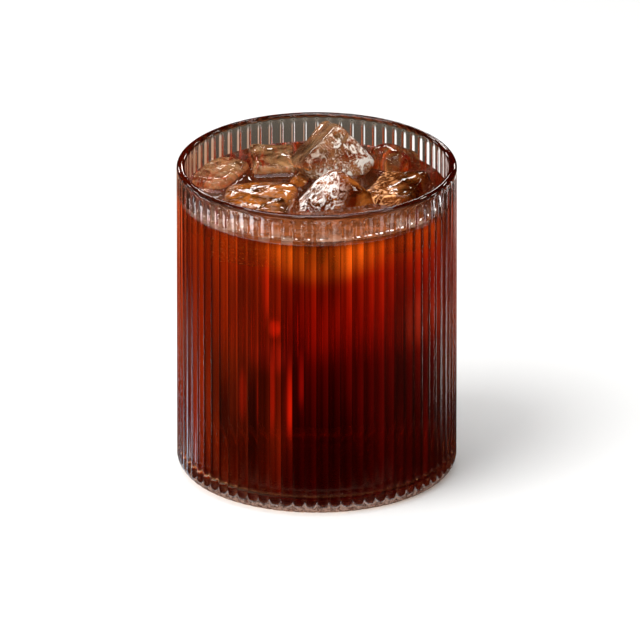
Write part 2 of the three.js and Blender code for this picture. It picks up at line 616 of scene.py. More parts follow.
@dataclass(frozen=True)
class WetIce:
    """Clear wet ice, stained amber by the coffee and frosted where the mesh's frost value says.

    A patchy haze lies over all of it. Frosted places are broken up into clouds and thin white swirls.

    Attributes:
        stain: colour of the coffee that the ice has taken up.
        haze: strength of the stain's cloudiness where it is thickest.
        white: colour of the frost.
        swirls: strength of the thin white swirls.
        swirl_width: half width of the swirls' lines, as a difference of their noise.
        frost_roughness: how dull the frost is where it is thickest.
        cloud_span: noise over which the frost's clouds set in.
        mist_span: noise over which the haze thickens.
        least_haze: strength of the haze where it is thinnest.
    """

    name: str
    stain: Colour = (0.8, 0.38, 0.14, 1)
    haze: float = 0.5
    ior: float = 1.31
    white: Colour = (0.97, 0.93, 0.88, 1)
    swirls: float = 0.0
    streaks_per_metre: float = 230.0
    swirls_per_metre: float = 400.0
    swirl_width: float = 0.03
    frost_roughness: float = 0.25
    cloud_span: Span = (0.5, 0.58)
    mist_span: Span = (0.42, 0.66)
    least_haze: float = 0.02

    def material(self) -> bpy.types.Material:
        """Builds the finish.

        Returns:
            The material.
        """
        nodes = Nodes.start(self.name)
        place = nodes.place()
        noise = nodes.noise(place, Scale=self.streaks_per_metre, Detail=8.0, Roughness=0.66, Distortion=2.0)
        swirl = nodes.math("MULTIPLY", self.contour(nodes, place), self.swirls)
        white = nodes.math("MAXIMUM", nodes.ramp(noise, self.cloud_span), swirl)
        frost = nodes.math("MULTIPLY", white, nodes.carried("frost"), clamp=True)
        mist = nodes.noise(place, Scale=150.0, Detail=4.0, Roughness=0.6, Distortion=0.8)
        haze = nodes.ramp(mist, self.mist_span, (self.least_haze, self.haze))
        bump = nodes.add("Bump", Strength=0.3, Distance=0.0008)
        nodes.feed(nodes.noise(place, Scale=260.0, Detail=2.0, Roughness=0.5), bump.inputs["Height"])
        shader = nodes.shader(
            Base_Color=nodes.mix(frost, self.stain, self.white),
            Roughness=nodes.math("MULTIPLY", frost, self.frost_roughness),
            IOR=self.ior,
            Transmission_Weight=nodes.rest(nodes.math("MAXIMUM", frost, haze)),
            Normal=bump.outputs[0],
        )
        return nodes.output(shader)

    def contour(self, nodes: Nodes, place: bpy.types.NodeSocket) -> bpy.types.NodeSocket:
        """Draws thin swirling lines where a noise crosses its middle value.

        Args:
            nodes: the material under construction.
            place: the place in the object's frame.

        Returns:
            A value that is one on the lines and zero between them.
        """
        noise = nodes.noise(place, Scale=self.swirls_per_metre, Detail=3.0, Roughness=0.55, Distortion=1.2)
        away = nodes.math("ABSOLUTE", nodes.math("SUBTRACT", noise, 0.5))
        return nodes.ramp(away, (0.0, self.swirl_width), (1.0, 0.0))


@dataclass(frozen=True)
class Crackle:
    """White cracks and cloudy specks inside ice."""

    name: str = "ice_crackle"
    colour: Colour = (0.98, 0.97, 0.95, 1)
    patch_span: Span = (0.42, 0.6)
    cover: Span = (0.15, 0.9)

    def material(self) -> bpy.types.Material:
        """Builds the finish.

        Returns:
            The material.
        """
        nodes = Nodes.start(self.name)
        patch = nodes.noise(nodes.place(), Scale=500.0, Detail=4.0)
        cover = nodes.ramp(patch, self.patch_span, self.cover)
        return nodes.output(nodes.shader(Base_Color=self.colour, Roughness=0.5, IOR=1.31, Alpha=cover))


@dataclass(frozen=True)
class ClearBead:
    """Clear liquid or the thin skin of a bubble."""

    name: str
    colour: Colour
    ior: float

    def material(self) -> bpy.types.Material:
        """Builds the finish.

        Returns:
            The material.
        """
        nodes = Nodes.start(self.name)
        shader = nodes.shader(Base_Color=self.colour, Roughness=0.02, IOR=self.ior, Transmission_Weight=1.0)
        return nodes.output(shader)


@dataclass(frozen=True)
class Glow:
    """An even light card, for the studio alone."""

    name: str
    colour: tuple[float, float, float]
    strength: float = 1.0

    def material(self) -> bpy.types.Material:
        """Builds the finish.

        Returns:
            The material.
        """
        nodes = Nodes.start(self.name)
        shader = nodes.add("Emission", Color=(*self.colour, 1), Strength=self.strength)
        return nodes.output(shader.outputs[0])


@dataclass(frozen=True)
class Painted:
    """A glow whose colour is the mesh's own "light" value, for the studio alone."""

    name: str

    def material(self) -> bpy.types.Material:
        """Builds the finish.

        Returns:
            The material.
        """
        nodes = Nodes.start(self.name)
        shader = nodes.add("Emission", Strength=1.0)
        nodes.feed(nodes.carried("light", "Color"), shader.inputs["Color"])
        return nodes.output(shader.outputs[0])


@dataclass(frozen=True)
class PaleTable:
    """The matt pale surface that the glass stands on."""

    name: str = "pale_table"
    colour: Colour = (0.93, 0.93, 0.92, 1)

    def material(self) -> bpy.types.Material:
        """Builds the finish.

        Returns:
            The material.
        """
        nodes = Nodes.start(self.name)
        shader = nodes.add("BsdfDiffuse", Color=self.colour)
        return nodes.output(shader.outputs[0])


@dataclass
class Tumbler:
    """The reeded glass.

    Attributes:
        radius: outer radius over the reeds' crests.
        height: height of the lip.
        wall: thickness of the wall under the lip.
        floor: thickness of the floor.
        heel_radius: radius of the rounded edge of the foot.
        fillet_radius: radius between the floor and the inside of the wall.
        reeds: number of reeds.
        reed_steps: points across each reed.
        reed_depth: depth of the valleys between them.
        reed_arch: height over which they end in an arch under the lip.
        reed_margin: plain height between that arch and the lip's round.
        reed_fade: how far down the heel the valleys run out.
        reed_power: how sharp the valleys are.
        heel_rows: rises above the heel where rows of the mesh follow its scallops.
        heel_height: height of the stippled heel behind a reed's crest.
        heel_scallop: how much higher it is in a valley.
        scallop_power: how narrow that rise is.
        heel_fade: height over which the stipple ends.
        lip_shade_fade: height over which the lip's painted shade sets in.
        round_steps: straight pieces in each round of the profile.
        heel_steps: straight pieces in the heel.
        lip_steps: straight pieces in each half of the lip.
        shank_rows: rows of the mesh on the plain height of the reeds.
    """

    radius: float
    height: float
    wall: float = 2.6
    floor: float = 3.5
    heel_radius: float = 4.0
    fillet_radius: float = 5.0
    reeds: int = 72
    reed_steps: int = 12
    reed_depth: float = 0.6
    reed_arch: float = 2.6
    reed_margin: float = 0.5
    reed_fade: float = 1.2
    reed_power: float = 3.2
    heel_rows: tuple[float, ...] = (0.3, 0.6, 1.0)
    heel_height: float = 3.2
    heel_scallop: float = 1.2
    scallop_power: int = 4
    heel_fade: float = 0.5
    lip_shade_fade: float = 0.4
    round_steps: int = 10
    heel_steps: int = 16
    lip_steps: int = 8
    shank_rows: int = 8
    finish: ClearGlass = field(default_factory=ClearGlass)

    @property
    def bore(self) -> float:
        """Radius of the smooth inside."""
        return self.radius - self.wall

    @property
    def lip(self) -> float:
        """Radius of the rounded lip."""
        return self.wall / 2

    @property
    def reed_top(self) -> float:
        """Height where the reeds have run out under the lip."""
        return self.height - self.lip - self.reed_margin

    def outer_profile(self) -> list[tuple[float, float]]:
        """Works out the outside's profile, from the foot up to the lip's crown.

        Returns:
            Radius and height of each point.
        """
        foot = [(self.radius / 2, 0.0), (self.radius - self.heel_radius - 1, 0.0)]
        heel_centre = (self.radius - self.heel_radius, self.heel_radius)
        heel = arc(heel_centre, self.heel_radius, -90, 0, self.heel_steps)
        above_heel = [(self.radius, self.heel_radius + rise) for rise in self.heel_rows]
        shank_top = self.reed_top - self.reed_arch
        shank = [(self.radius, z) for z in np.linspace(self.heel_radius, shank_top, self.shank_rows + 1)[1:]]
        arch = [
            (self.radius, self.reed_top - self.reed_arch * math.cos(math.radians(a)))
            for a in np.linspace(0, 90, self.round_steps + 1)[1:]
        ]
        crown = arc((self.radius - self.lip, self.height - self.lip), self.lip, 0, 90, self.lip_steps)
        return [*foot, *heel, *above_heel, *shank, *arch, *crown]

    def bore_profile(self, inset: float, top: float, rows: int = 6) -> list[tuple[float, float]]:
        """Radius and height of the inside from the floor up.

        Args:
            inset: how far the profile stays inside the bore, or reaches into the wall if negative.
            top: height of the last point.
            rows: points on the upright part.

        Returns:
            The profile's points.
        """
        centre = (self.bore - self.fillet_radius, self.floor + self.fillet_radius)
        fillet = arc(centre, self.fillet_radius - inset, -90, 0, self.round_steps)
        wall = np.linspace(self.floor + self.fillet_radius, top, rows + 1)[1:]
        return [(self.bore / 2, self.floor + inset), *fillet, *[(self.bore - inset, z) for z in wall]]

    def valley(self, heights: np.ndarray) -> np.ndarray:
        """Works out how deep the valleys are.

        Args:
            heights: heights on the outside of the glass.

        Returns:
            Their depths: full on the wall, arching out at the lip and fading under the heel.
        """
        arch = np.clip((heights - self.reed_top + self.reed_arch) / self.reed_arch, 0, 1)
        heel = np.clip((heights + self.reed_fade) / self.heel_radius, 0, 1)
        return self.reed_depth * np.sqrt(1 - arch**2) * heel

    def build(self) -> bpy.types.Object:
        """Makes the glass and lets it stand for its solid.

        Returns:
            The glass's piece.
        """
        outer = self.outer_profile()
        inner = self.bore_profile(0, self.height - self.lip)
        rim = arc((self.radius - self.lip, self.height - self.lip), self.lip, 90, 180, self.lip_steps)[1:-1]
        profile = np.array(outer + rim + inner[::-1])
        sides = self.reeds * self.reed_steps
        turn = circle(sides)
        from_crest = np.mod(np.arange(sides) / self.reed_steps, 1) * 2 - 1
        reeded = np.zeros(len(profile))
        # The foot's first two rings are flat and have no valleys.
        first = 2
        reeded[first : len(outer)] = self.valley(profile[first : len(outer), 1])
        radii = profile[:, 0][:, None] - reeded[:, None] * np.abs(from_crest[None, :]) ** self.reed_power
        heights = np.broadcast_to(profile[:, 1][:, None], radii.shape)
        rings = np.stack([radii * np.cos(turn), radii * np.sin(turn), heights], -1).reshape(-1, 3)
        points = np.vstack([[0, 0, 0], rings, [0, 0, self.floor]])
        glass = mesh_object("tumbler", points, turned_faces(len(profile), sides), self.finish.material())
        edge = self.heel_height + self.heel_scallop * from_crest[None, :] ** self.scallop_power
        heel = np.clip((edge - heights) / self.heel_fade, 0, 1)
        heel[len(outer) :] = 0
        # Share of the lip's painted shade: none up to the middle of the lip's round, all of it a little
        # above
        crown = np.clip((heights - self.height + self.lip) / self.lip_shade_fade, 0, 1)
        carry(glass, "heel", np.concatenate([[1.0], heel.reshape(-1), [0.0]]))
        carry(glass, "lip", np.concatenate([[0.0], crown.reshape(-1), [0.0]]))
        settle(glass, "glass")
        glass.visible_shadow = False
        return glass


ICE_GAP = 0.35
ICE_MARGIN = 1.8
ICE_CREASE_DEG = 40
NEIGHBOUR_REACH = 1.6

# Each block's own draws start from these and its seed
MELT_SEED = 100
CRACK_SEED = 300

# Length and height of each kind of wave on melted ice, and how far the melting has drawn the ice in
MELT_WAVES = ((13, 0.14), (8, 0.06), (4.5, 0.012))
WAVES_OF_A_KIND = 3
MELT_LOSS = 0.15

# How fast the frost of one face gives way to the next one's, and the most that it can grow along its way
FROST_EDGE = 6
FROST_GROWTH = 1.3


@dataclass
class IceBlock:
    """One half-melted ice cube.

    Attributes:
        name: the node that it stands for.
        size: its three widths before it is turned.
        centre: its middle.
        turn: degrees about X, then Y, then Z.
        power: how square it is; its corners are those of a p-norm ball.
        dent: how uneven its faces are.
        seed: sets its dents.
        frost: strength of the frost on each local face, in the order -X, +X, -Y, +Y, -Z, +Z.
        stain: colour of the coffee that it has taken up.
        haze: strength of that stain's cloudiness.
        fade: way in the glass's frame along which the frost grows, and how fast.
        white: colour of its frost.
        swirls: strength of the thin swirls in that frost.
        steps: squares along each edge of its mesh.
    """

    name: str
    size: tuple[float, float, float]
    centre: tuple[float, float, float]
    turn: tuple[float, float, float]
    power: float
    seed: int
    dent: float = 0.03
    frost: tuple[float, float, float, float, float, float] = (0.1, 0.1, 0.1, 0.1, 0.1, 0.1)
    stain: Colour = (0.8, 0.38, 0.14, 1)
    haze: float = 0.5
    fade: tuple[float, float, float] = (0.0, 0.0, 0.0)
    white: Colour = (0.97, 0.93, 0.88, 1)
    swirls: float = 0.0
    steps: int = 44

    @property
    def half(self) -> np.ndarray:
        """Half of each width."""
        return np.array(self.size) / 2

    @property
    def rotation(self) -> np.ndarray:
        """Works out the turn from the block's own axes to the glass's.

        Returns:
            The rotation's matrix.
        """
        x, y, z = (math.radians(a) for a in self.turn)
        about = [Matrix.Rotation(z, 3, "Z"), Matrix.Rotation(y, 3, "Y"), Matrix.Rotation(x, 3, "X")]
        return np.array(about[0] @ about[1] @ about[2])

    def grid(self) -> tuple[np.ndarray, list[list[int]]]:
        """Makes an evenly spread cube of half width one.

        Returns:
            Its points and its faces.
        """
        shell = bmesh.new()
        bmesh.ops.create_cube(shell, size=2)
        bmesh.ops.subdivide_edges(shell, edges=shell.edges[:], cuts=self.steps - 1, use_grid_fill=True)
        points = np.array([v.co[:] for v in shell.verts])
        faces = [[v.index for v in f.verts] for f in shell.faces]
        shell.free()
        return np.tan(points * math.pi / 4), faces

    def skin(self, clearance: float) -> tuple[np.ndarray, list[list[int]]]:
        """Works out the block's surface.

        Args:
            clearance: how far the surface is moved outward.

        Returns:
            Its points in the glass's frame and its faces.
        """
        spread, faces = self.grid()
        unit = spread / (np.abs(spread) ** self.power).sum(1, keepdims=True) ** (1 / self.power)
        x, y, z = unit.T
        wave = np.sin(2.3 * x + 1.7 * y + self.seed) * np.sin(1.9 * y - 2.1 * z + 2 * self.seed)
        body = unit * (1 + self.dent * wave[:, None]) * (self.half + clearance)
        body += unit * self.melt(body)[:, None]
        return body @ self.rotation.T + np.array(self.centre), faces

    def melt(self, points: np.ndarray) -> np.ndarray:
        """Works out the gentle waves of the melted surface.

        Args:
            points: places on the block, seen from its middle.

        Returns:
            The waves' height at each place, in millimetres.
        """
        draw = np.random.default_rng(MELT_SEED + self.seed)
        height = np.zeros(len(points))
        for length, size in MELT_WAVES:
            for _ in range(WAVES_OF_A_KIND):
                way = draw.normal(size=3)
                way /= np.linalg.norm(way)
                height += size * np.sin(points @ way * 2 * math.pi / length + draw.uniform(0, 2 * math.pi))
        return height - MELT_LOSS

    def gap(self, points: np.ndarray) -> np.ndarray:
        """Measures how far places are from the block.

        Args:
            points: places in the glass's frame.

        Returns:
            The rough distance from the surface, negative inside.
        """
        local = (points - np.array(self.centre)) @ self.rotation
        norm = (np.abs(local / self.half) ** self.power).sum(1) ** (1 / self.power)
        return (norm - 1) * self.half.mean()

    def solid(self, name: str, clearance: float, material: bpy.types.Material) -> bpy.types.Object:
        """Makes a closed mesh of the block, moved outward by clearance."""
        points, faces = self.skin(clearance)
        return mesh_object(name, points, faces, material)

    def carve(self, earlier: list["IceBlock"], column: bpy.types.Object) -> bpy.types.Object:
        """Makes the block, cut back by the blocks before it and by the glass's inside.

        Args:
            earlier: blocks that keep their shape where they meet this one.
            column: the upright space that ice can lie in.

        Returns:
            The finished piece of ice, with its frost values.
        """
        finish = WetIce("wet_" + self.name, self.stain, self.haze, white=self.white, swirls=self.swirls)
        ice = self.solid("clear_" + self.name, 0, finish.material())
        boolean(ice, column, "INTERSECT")
        near = np.array([self.centre])
        reach = np.linalg.norm(self.half)
        for other in earlier:
            if other.gap(near)[0] > reach * NEIGHBOUR_REACH:
                continue
            cutter = other.solid("cutter", ICE_GAP, ice.data.materials[0])
            boolean(ice, cutter, "DIFFERENCE")
            discard(cutter)
        ice.data.shade_smooth()
        ice.data.set_sharp_from_angle(angle=math.radians(ICE_CREASE_DEG))
        self.dust(ice)
        return ice

    def dust(self, ice: bpy.types.Object) -> None:
        """Writes how frosted the ice is at each of its points.

        Args:
            ice: the block's finished piece.
        """
        away = points_of(ice) - np.array(self.centre)
        local = away @ self.rotation / self.half
        sides = [side * local[:, axis] for axis in range(3) for side in (-1, 1)]
        weight = np.clip(np.stack(sides, 1), 0, 1) ** FROST_EDGE
        value = (weight * np.array(self.frost)).sum(1) / np.maximum(weight.sum(1), 1e-6)
        along = away @ np.array(self.fade) / self.half.mean()
        carry(ice, "frost", value * np.clip(1 + along, 0, FROST_GROWTH))


# What ice has taken up of the coffee, and the frost on it
TAN = (0.7, 0.36, 0.15, 1)
AMBER = (0.8, 0.23, 0.035, 1)
UMBER = (0.42, 0.17, 0.05, 1)
HONEY = (0.76, 0.38, 0.15, 1)
RUST = (0.5, 0.13, 0.02, 1)
WHITE_FROST = (0.97, 0.93, 0.88, 1)
PALE_FROST = (0.98, 0.92, 0.83, 1)
WARM_FROST = (0.9, 0.64, 0.42, 1)
GOLDEN_FROST = (1.0, 0.47, 0.19, 1)

ICE = [
    IceBlock(
        "ice_tall", (18, 17, 19), (4.4, 19.4, 89.2), (-24, 46, -2), power=9, seed=1, dent=0.02,
        frost=(0.2, 1.3, 1.1, 0.3, 0.5, 0.5), fade=(0.5, 0, 0),
        stain=TAN, haze=0.35, white=PALE_FROST, swirls=0.7,
    ),
    IceBlock(
        "ice_front", (22, 13, 22), (6, -8.6, 84), (-24, 48, 2), power=5, seed=2,
        frost=(1.0, 0.1, 1.0, 0.3, 0.5, 0.3), fade=(-2.0, 0, 0),
        stain=AMBER, haze=0.6, white=WHITE_FROST, swirls=1.0,
    ),
    IceBlock(
        "ice_right", (16.5, 20, 17), (24.6, -2, 83.6), (4, -8, -22), power=9, seed=3,
        frost=(1.3, 0.9, 1.3, 0.3, 0.5, 0.5), fade=(-2.2, 0, -0.2),
        stain=RUST, haze=0.35, white=GOLDEN_FROST, swirls=0.6,
    ),
    IceBlock(
        "ice_back_right", (15, 15, 20), (22.2, 21.5, 83.2), (-8, 6, -34), power=4, seed=4,
        stain=UMBER, haze=0.36,
    ),
    IceBlock(
        "ice_front_left", (22, 25, 17), (-17, -10.6, 82.6), (0, -4, -8), power=9, seed=5,
        frost=(0.4, 0.3, 0.25, 0.2, 0.5, 0.3), fade=(-1.2, 0, 0.2),
        stain=AMBER, haze=0.5, white=PALE_FROST,
    ),
    IceBlock(
        "ice_back_left", (14, 17, 18), (-13.6, 22, 82.4), (4, 4, 6), power=9, seed=6,
        frost=(0.4, 0.4, 0.4, 0.2, 0.5, 0.35),
        stain=HONEY, haze=0.45, white=WARM_FROST,
    ),
    IceBlock(
        "ice_left", (13.5, 24, 16), (-29, 12.6, 82.4), (0, -5, -24), power=6, seed=7,
        frost=(0.3, 0.3, 0.3, 0.2, 0.5, 0.35),
        stain=HONEY, haze=0.45, white=WARM_FROST,
    ),
    IceBlock(
        "ice_sliver", (5, 13, 15), (-6.6, 9.5, 82.6), (0, 22, -16), power=8, seed=8,
        stain=AMBER, haze=0.5,
    ),
]


@dataclass
class Crackles:
    """Thin white cracks that lie inside one block.

    Attributes:
        block: the block that they lie in.
        count: how many they are.
        smallest: radius of the smallest.
        largest: radius of the largest.
        rarity: how much rarer large ones are than small ones.
        depth: how near the surface they come, as a share of the block's half widths.
        ragged: shortest radius of a crack's corners, as a share of its longest.
        narrow: its second width, as a share of the first.
        bend: how far it bends out of its plane, as a share of its radius.
        corners: corners round its edge.
    """

    block: IceBlock
    count: int = 26
    smallest: float = 0.2
    largest: float = 1.2
    rarity: float = 2.5
    depth: float = 0.74
    ragged: float = 0.55
    narrow: float = 0.7
    bend: float = 0.12
    corners: int = 7

    def build(self, material: bpy.types.Material) -> bpy.types.Object:
        """Makes all of the block's cracks as one piece.

        Args:
            material: the finish of the cracks.

        Returns:
            The piece of cracks.
        """
        draw = np.random.default_rng(CRACK_SEED + self.block.seed)
        points, faces = [], []
        turn = circle(self.corners)
        outline = np.stack([np.cos(turn), np.sin(turn) * self.narrow, self.bend * np.cos(2 * turn)], 1)
        for _ in range(self.count):
            place = draw.uniform(-self.depth, self.depth, 3)
            size = self.smallest + (self.largest - self.smallest) * draw.random() ** self.rarity
            axes = np.linalg.qr(draw.normal(size=(3, 3)))[0]
            radii = size * draw.uniform(self.ragged, 1, self.corners)
            middle = place * self.block.half
            first = len(points) + 1
            points.extend([middle, *(outline * radii[:, None] @ axes.T + middle)])
            faces.extend([first - 1, first + k, first + (k + 1) % self.corners] for k in range(self.corners))
        placed = np.array(points) @ self.block.rotation.T + np.array(self.block.centre)
        return mesh_object(self.block.name + "_crackle", placed, faces, material)


@dataclass
class Ice:
    """All the ice in the drink, each block in its own piece."""

    glass: Tumbler
    blocks: list[IceBlock]

    def column(self, sides: int = 180) -> bpy.types.Object:
        """Makes the upright space inside the glass that ice can lie in.

        Args:
            sides: points round it.

        Returns:
            A closed helper object.
        """
        radius = self.glass.bore - ICE_MARGIN
        low, high = self.glass.floor + ICE_MARGIN, self.glass.height * 1.3
        rings = [[radius * math.cos(t), radius * math.sin(t), z] for z in (low, high) for t in circle(sides)]
        points = np.array([[0, 0, low], *rings, [0, 0, high]])
        return mesh_object("column", points, turned_faces(2, sides), bpy.data.materials[0])

    def build(self) -> list[bpy.types.Object]:
        """Makes every block and its cracks.

        Returns:
            The pieces of ice alone, in the order of the blocks.
        """
        column = self.column()
        crackle = Crackle().material()
        made = []
        for number, block in enumerate(self.blocks):
            piece = block.carve(self.blocks[:number], column)
            settle(piece, block.name)
            piece.visible_shadow = False
            settle(Crackles(block).build(crackle))
            made.append(piece)
            LOG.info("made %s and its cracks", piece.name)
        discard(column)
        return made


@dataclass(frozen=True)
class Patch:
    """One soft patch of light on a plane.

    Attributes:
        centre: its middle.
        spread: how wide it is along the plane's two axes.
        colour: what it adds.
        turn: degrees that it is turned by.
    """

    centre: tuple[float, float]
    spread: tuple[float, float]
    colour: tuple[float, float, float]
    turn: float = 0.0

    def light(self, x: np.ndarray, y: np.ndarray) -> np.ndarray:
        """Works out what the patch adds at each place.

        Args:
            x: first place on the plane.
            y: second place on it.

        Returns:
            Red, green and blue at each place.
        """
        angle = math.radians(self.turn)
        across, along = x - self.centre[0], y - self.centre[1]
        first = (across * math.cos(angle) + along * math.sin(angle)) / self.spread[0]
        second = (along * math.cos(angle) - across * math.sin(angle)) / self.spread[1]
        return np.exp(-((first**2 + second**2) ** 2))[..., None] * np.array(self.colour)


# Colour of the painted glow that stands in for the light the reeds gather in the drink, by height, at its
# left and then at its right
GLOW_LEFT = [
    (3, (0.05, 0.003, 0.001)),
    (8, (0.18, 0.01, 0.001)),
    (24, (0.3, 0.02, 0.002)),
    (45, (0.28, 0.018, 0.001)),
    (62, (0.26, 0.017, 0.001)),
    (76, (0.31, 0.022, 0.001)),
    (87, (0.34, 0.03, 0.001)),
]
GLOW_RIGHT = [
    (3, (0.03, 0.0005, 0.0001)),
    (8, (0.018, 0.0002, 0.0001)),
    (28, (0.034, 0.0003, 0.0001)),
    (48, (0.055, 0.0005, 0.0001)),
    (62, (0.085, 0.0008, 0.0001)),
    (76, (0.17, 0.004, 0.0003)),
    (87, (0.3, 0.026, 0.001)),
]

# X over which the first gives way to the second, and over which both sink to a level at the flanks
GLOW_MIX = (-34.0, -6.0)
GLOW_FLANK = (31.0, 40.0)
GLOW_FLANK_LEVEL = 0.5

# Height where the painted glow ends, and the height over which it sinks there
GLOW_TOP = 87.0
GLOW_FADE = 1.3

# Painted light added to the glow, by X and height: amber under the ice, then thin red streaks and faint
# clouds that stand in for light coming through ice sunk in the coffee
GLOW_SPOTS = [
    Patch((1, 84), (15, 8), (0.36, 0.06, 0.003)),
    Patch((-12.6, 59.5), (1.4, 2.6), (0.4, 0.006, 0.001)),
    Patch((-14, 50), (6, 5), (0.1, 0.002, 0.001)),
    Patch((-21.8, 36), (0.7, 8), (0.5, 0.01, 0.002)),
    Patch((-17.6, 34), (0.45, 8), (0.4, 0.007, 0.002)),
    Patch((-12.8, 38), (0.5, 12), (0.3, 0.005, 0.001)),
    Patch((-8.3, 37), (0.7, 11), (0.4, 0.006, 0.001)),
    Patch((-4.9, 44), (0.6, 9), (0.25, 0.003, 0.001)),
    Patch((-15, 72), (0.7, 9), (0.3, 0.006, 0.001)),
    Patch((1, 66), (7, 15), (0.06, 0.001, 0)),
    Patch((16, 66), (11, 12), (0.05, 0.001, 0)),
    Patch((31, 58), (7, 8), (0.07, 0.008, 0.003)),
]


@dataclass
class Drink:
    """The coffee, which reaches just into the wall and just into the ice.

    Attributes:
        glass: the glass that it fills.
        level: height of its surface.
        blocks: the ice in it.
        overlap: how far it reaches into the wall, and twice how far it reaches into the ice.
        wall_rise: how high it climbs the wall.
        wall_reach: how far from the wall that begins.
        ice_rise: how high it climbs the ice.
        ice_reach: how far from the ice that begins.
        sides: points round it.
        rings: rings of points on its surface.
        crowding: how much closer those lie near the wall.
        wall_rows: rows of points on its side.
        crease_deg: angle above which an edge is sharp.
    """

    glass: Tumbler
    level: float
    blocks: list[IceBlock]
    overlap: float = 0.12
    wall_rise: float = 0.9
    wall_reach: float = 1.3
    ice_rise: float = 1.0
    ice_reach: float = 0.9
    sides: int = 432
    rings: int = 100
    crowding: float = 1.6
    wall_rows: int = 60
    crease_deg: float = 50
    finish: CoffeeLiquid = field(default_factory=CoffeeLiquid)

    def surface(self, points: np.ndarray) -> np.ndarray:
        """Works out how high the liquid's surface is, climbing the wall and the ice.

        Args:
            points: places on it, of which only X and Y are read.

        Returns:
            The height at each place.
        """
        out = self.glass.bore - np.hypot(points[:, 0], points[:, 1])
        at_level = np.column_stack([points[:, 0], points[:, 1], np.full(len(points), self.level)])
        near = np.min([block.gap(at_level) for block in self.blocks], axis=0)
        rise = self.wall_rise * np.exp(-np.clip(out, 0, None) / self.wall_reach)
        climb = self.ice_rise * np.exp(-np.clip(near, 0, None) / self.ice_reach)
        return self.level + np.maximum(rise, climb)

    def build(self, ice: list[bpy.types.Object]) -> bpy.types.Object:
        """Makes the drink, cut round the ice.

        Args:
            ice: the pieces of ice that lie in it.

        Returns:
            The drink's piece.
        """
        reach = self.glass.bore + self.overlap
        side = np.array(self.glass.bore_profile(-self.overlap, self.level, self.wall_rows))
        inward = reach * (1 - np.linspace(0, 1, self.rings + 1)[:-1] ** self.crowding)
        turn = circle(self.sides)
        round_x, round_y = np.cos(turn), np.sin(turn)
        low = [np.column_stack([r * round_x, r * round_y, np.full(self.sides, z)]) for r, z in side[:-1]]
        top = []
        for radius in inward:
            ring = np.column_stack([radius * round_x, radius * round_y, np.zeros(self.sides)])
            ring[:, 2] = self.surface(ring)
            top.append(ring)
        middle = np.zeros((1, 3))
        middle[0, 2] = self.surface(middle)[0]
        points = np.vstack([[[0, 0, self.glass.floor - self.overlap]], *low, *top, middle])
        faces = turned_faces(len(low) + len(top), self.sides)
        drink = mesh_object("coffee", points, faces, self.finish.material())
        for piece in ice:
            well = self.shrunk(piece)
            boolean(drink, well, "DIFFERENCE")
            discard(well)
        drink.data.shade_smooth()
        drink.data.set_sharp_from_angle(angle=math.radians(self.crease_deg))
        self.paint_glow(drink)
        settle(drink, "drink")
        return drink

    def paint_glow(self, drink: bpy.types.Object) -> None:
        """Writes the colour of the painted glow, which stands in for gathered light, at each point of the
        drink.

        Args:
            drink: the drink's piece.
        """
        x, _, z = points_of(drink).T
        side = np.clip((x - GLOW_MIX[0]) / (GLOW_MIX[1] - GLOW_MIX[0]), 0, 1)[:, None]
        glow = self.by_height(z, GLOW_LEFT) * (1 - side) + self.by_height(z, GLOW_RIGHT) * side
        glow = glow + sum(spot.light(x, z) for spot in GLOW_SPOTS)
        flank = np.clip((np.abs(x) - GLOW_FLANK[0]) / (GLOW_FLANK[1] - GLOW_FLANK[0]), 0, 1)
        top = np.clip((GLOW_TOP - z) / GLOW_FADE, 0, 1)
        carry(drink, "glow", glow * ((1 - flank * (1 - GLOW_FLANK_LEVEL)) * top)[:, None])

    @staticmethod
    def by_height(heights: np.ndarray, stops: list[tuple[float, tuple[float, float, float]]]) -> np.ndarray:
        """Reads a ramp of colours.

        Args:
            heights: where it is read.
            stops: heights with their colours, from the lowest up.

        Returns:
            One row of red, green and blue for each height.
        """
        levels = [stop[0] for stop in stops]
        return np.stack([np.interp(heights, levels, [stop[1][k] for stop in stops]) for k in range(3)], 1)

    def shrunk(self, piece: bpy.types.Object) -> bpy.types.Object:
        """Copies a piece of ice, drawn in by half the overlap, to cut its well.

        Args:
            piece: the piece of ice.

        Returns:
            The smaller copy.
        """
        well = link(bpy.data.objects.new("well", piece.data.copy()))
        count = len(well.data.vertices)
        points, normals = np.empty(count * 3), np.empty(count * 3)
        well.data.vertices.foreach_get("co", points)
        well.data.vertex_normals.foreach_get("vector", normals)
        well.data.vertices.foreach_set("co", points - normals * self.overlap * 0.5 * MM)
        well.data.update()
        return well


@dataclass
class Beads:
    """Small bubbles on the drink, or drops on the glass, all of one kind in one piece.

    Attributes:
        name: the piece's name.
        places: middle, and half widths along the glass's radius, round it and upward, of each bead.
        finish: what the beads are made of.
    """

    name: str
    places: list[tuple[tuple[float, float, float], tuple[float, float, float]]]
    finish: ClearBead
    sides: int = 12
    rings: int = 7

    def build(self) -> bpy.types.Object:
        """Makes every bead of the piece.

        Returns:
            The piece.
        """
        lift = np.linspace(-90, 90, self.rings + 2)[1:-1]
        turn = circle(self.sides)
        ball = [[0, 0, -1]]
        for angle in np.radians(lift):
            flat, up = math.cos(angle), math.sin(angle)
            ball.extend([flat * math.cos(t), flat * math.sin(t), up] for t in turn)
        ball = np.array([*ball, [0, 0, 1]])
        skin = turned_faces(self.rings, self.sides)
        points, faces = [], []
        for middle, half in self.places:
            way = math.atan2(middle[1], middle[0])
            out, along = [math.cos(way), math.sin(way), 0], [-math.sin(way), math.cos(way), 0]
            start = len(points)
            points.extend((ball * np.array(half)) @ np.array([out, along, [0, 0, 1]]) + np.array(middle))
            faces.extend([start + k for k in face] for face in skin)
        piece = mesh_object(self.name, np.array(points), faces, self.finish.material())
        settle(piece)
        return piece


@dataclass(frozen=True)
class Cluster:
    """A group of bubbles.

    Attributes:
        middle: its middle, as X and Y.
        spread: how wide it is.
        count: how many bubbles it has.
    """

    middle: tuple[float, float]
    spread: float
    count: int


